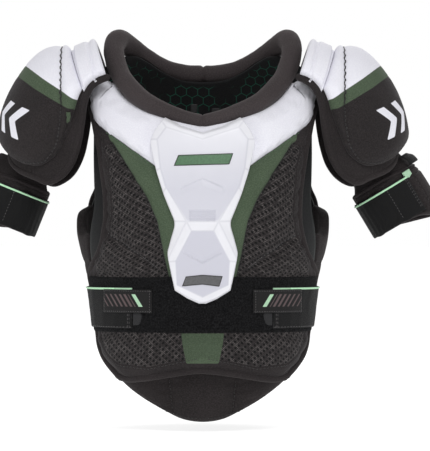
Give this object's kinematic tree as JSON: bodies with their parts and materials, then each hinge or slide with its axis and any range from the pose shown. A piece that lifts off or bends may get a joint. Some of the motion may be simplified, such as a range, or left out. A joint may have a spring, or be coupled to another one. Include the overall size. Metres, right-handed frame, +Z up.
{
  "type": "ice hockey shoulder pads",
  "caption": "Padded sports shoulder guard: a rigid-faced chest and back vest with a rolled collar, floating shoulder caps, strapped upper-arm cuffs, elastic side straps and a belly guard.",
  "frame": {"origin": "middle of the torso opening, on the wearer's centre line, at the height of the lowest hem", "axes": "+X towards the wearer's left, +Y towards the wearer's back, +Z up; the wearer faces -Y"},
  "size_m": [0.5999, 0.2713, 0.4859],
  "materials": {
    "charcoal_knit": "soft knit",
    "white_knit": "smooth knit",
    "lining": "wicking mesh",
    "binding": "rolled edge tape",
    "moulded_white": "matte moulded",
    "moulded_dark": "matte moulded",
    "foam": "closed-cell foam",
    "loop": "brushed loop pile",
    "webbing": "ribbed elastic",
    "printed_tab": "printed tape with a mint accent"
  },
  "bodies": {
    "vest": {"chest_panel": "charcoal_knit", "chest_liner": "lining", "left_armhole_binding": "binding", "right_armhole_binding": "binding", "hem_binding": "binding", "sternum_guard": "moulded_white", "sternum_foam": "foam", "loop_band": "loop", "belly_fixing_tab": "charcoal_knit", "left_collar_roll": "charcoal_knit", "right_collar_roll": "charcoal_knit", "back_panel": "charcoal_knit", "back_liner": "lining", "left_back_binding": "binding", "right_back_binding": "binding", "back_hem_binding": "binding", "spine_guard": "moulded_dark", "spine_foam": "foam", "left_side_wing": "charcoal_knit", "left_strap_anchor": "webbing", "left_shoulder_bridge": "foam", "left_arch_base": "charcoal_knit", "left_arch_pad": "white_knit", "right_side_wing": "charcoal_knit", "right_strap_anchor": "webbing", "right_shoulder_bridge": "foam", "right_arch_base": "charcoal_knit", "right_arch_pad": "white_knit"},
    "belly": {"belly_guard": "charcoal_knit"},
    "left_cap": {"left_cap_base": "charcoal_knit", "left_cap_shell": "moulded_dark", "left_cap_cover": "white_knit"},
    "left_hanger": {"left_arm_web": "webbing"},
    "left_arm": {"left_arm_pad": "charcoal_knit", "left_arm_shell": "moulded_dark", "left_arm_strap_root": "webbing"},
    "left_arm_closure": {"left_arm_strap": "webbing"},
    "left_side_closure": {"left_side_strap": "webbing", "left_printed_tab": "printed_tab", "left_end_tab": "webbing"},
    "right_cap": {"right_cap_base": "charcoal_knit", "right_cap_shell": "moulded_dark", "right_cap_cover": "white_knit"},
    "right_hanger": {"right_arm_web": "webbing"},
    "right_arm": {"right_arm_pad": "charcoal_knit", "right_arm_shell": "moulded_dark", "right_arm_strap_root": "webbing"},
    "right_arm_closure": {"right_arm_strap": "webbing"},
    "right_side_closure": {"right_side_strap": "webbing", "right_printed_tab": "printed_tab", "right_end_tab": "webbing"}
  },
  "joints": [
    {"name": "belly_flex", "type": "hinge", "parent": "vest", "child": "belly", "pos_m": [0, -0.096, 0.056], "axis": [1, 0, 0], "range_deg": [-15, 2], "stiffness_Nm_per_rad": 0.4},
    {"name": "left_cap_lift", "type": "hinge", "parent": "vest", "child": "left_cap", "pos_m": [0.16, 0, 0.467], "axis": [0, -1, 0], "range_deg": [-2, 35], "stiffness_Nm_per_rad": 0.9},
    {"name": "left_arm_swing", "type": "hinge", "parent": "left_cap", "child": "left_hanger", "pos_m": [0.24538, 0.008, 0.32131], "axis": [0.8572, 0, 0.515], "range_deg": [-8, 8], "stiffness_Nm_per_rad": 0.3},
    {"name": "left_arm_lift", "type": "hinge", "parent": "left_hanger", "child": "left_arm", "pos_m": [0.24538, 0.008, 0.32131], "axis": [0, -1, 0], "range_deg": [-6, 15], "stiffness_Nm_per_rad": 0.3},
    {"name": "left_arm_strap_peel", "type": "hinge", "parent": "left_arm", "child": "left_arm_closure", "pos_m": [0.20278, 0.01291, 0.24321], "axis": [0.515, 0, -0.8572], "range_deg": [0, 60], "stiffness_Nm_per_rad": 0.02},
    {"name": "left_side_strap_peel", "type": "hinge", "parent": "vest", "child": "left_side_closure", "pos_m": [0.13976, 0.01716, 0.13975], "axis": [0.1282, 0.0157, 0.9916], "range_deg": [0, 100], "stiffness_Nm_per_rad": 0.02},
    {"name": "right_cap_lift", "type": "hinge", "parent": "vest", "child": "right_cap", "pos_m": [-0.16, 0, 0.467], "axis": [0, 1, 0], "range_deg": [-2, 35], "stiffness_Nm_per_rad": 0.9},
    {"name": "right_arm_swing", "type": "hinge", "parent": "right_cap", "child": "right_hanger", "pos_m": [-0.25657, 0.008, 0.31714], "axis": [-0.9272, 0, 0.3746], "range_deg": [-8, 8], "stiffness_Nm_per_rad": 0.3},
    {"name": "right_arm_lift", "type": "hinge", "parent": "right_hanger", "child": "right_arm", "pos_m": [-0.25657, 0.008, 0.31714], "axis": [0, 1, 0], "range_deg": [-6, 15], "stiffness_Nm_per_rad": 0.3},
    {"name": "right_arm_strap_peel", "type": "hinge", "parent": "right_arm", "child": "right_arm_closure", "pos_m": [-0.20228, 0.01291, 0.24666], "axis": [0.3746, 0, 0.9272], "range_deg": [0, 60], "stiffness_Nm_per_rad": 0.02},
    {"name": "right_side_strap_peel", "type": "hinge", "parent": "vest", "child": "right_side_closure", "pos_m": [-0.13976, 0.01716, 0.13975], "axis": [0.1282, -0.0157, -0.9916], "range_deg": [0, 100], "stiffness_Nm_per_rad": 0.02}
  ]
}
